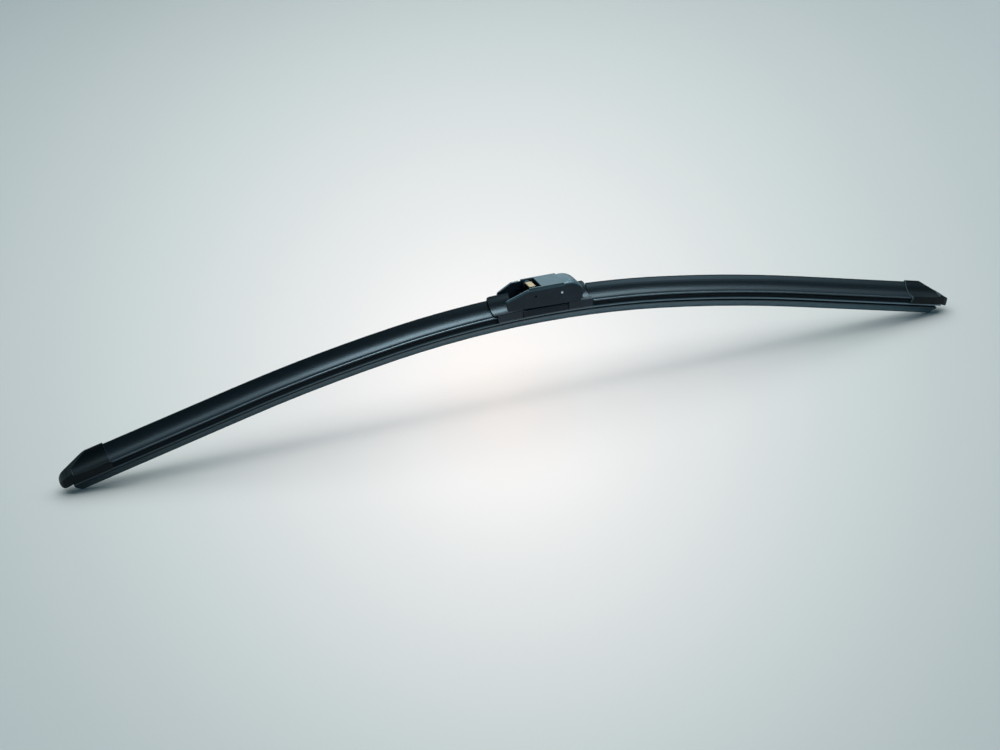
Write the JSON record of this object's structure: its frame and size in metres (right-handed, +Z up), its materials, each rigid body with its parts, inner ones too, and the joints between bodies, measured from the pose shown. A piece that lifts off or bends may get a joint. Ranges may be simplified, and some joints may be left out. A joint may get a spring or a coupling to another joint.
{
  "type": "wiper blade",
  "caption": "Flat arched wiper blade with a rubber spoiler, end caps and a hook arm adapter that rocks on a pivot pin in the middle.",
  "frame": {"origin": "centre of the pivot pin that the arm's hook seats on", "axes": "+X along the blade, +Y to the back of the spoiler, +Z up away from the glass"},
  "size_m": [0.6088, 0.019, 0.078],
  "materials": {
    "wiping_rubber": "matt, graphite coated",
    "spoiler_rubber": "satin",
    "spring_steel": "bright rolled",
    "black_plastic": "fine moulded grain",
    "coated_steel": "black powder coat",
    "pin_steel": "turned",
    "brass": "satin",
    "adapter_plastic": "fine moulded grain",
    "clip_plastic": "satin"
  },
  "bodies": {
    "adapter": {"adapter_housing": "adapter_plastic", "adapter_clip": "clip_plastic"},
    "blade": {"wiper_strip": "wiping_rubber", "front_spring_rail": "spring_steel", "rear_spring_rail": "spring_steel", "left_spoiler": "spoiler_rubber", "right_spoiler": "spoiler_rubber", "left_end_cap": "black_plastic", "right_end_cap": "black_plastic", "steel_bridge": "coated_steel", "left_shroud": "black_plastic", "right_shroud": "black_plastic", "pivot_pin": "pin_steel", "pin_bush": "brass"}
  },
  "joints": [
    {"name": "blade_rock", "type": "hinge", "parent": "adapter", "child": "blade", "pos_m": [0, 0, 0], "axis": [0, 1, 0], "range_deg": [0, 4]}
  ]
}
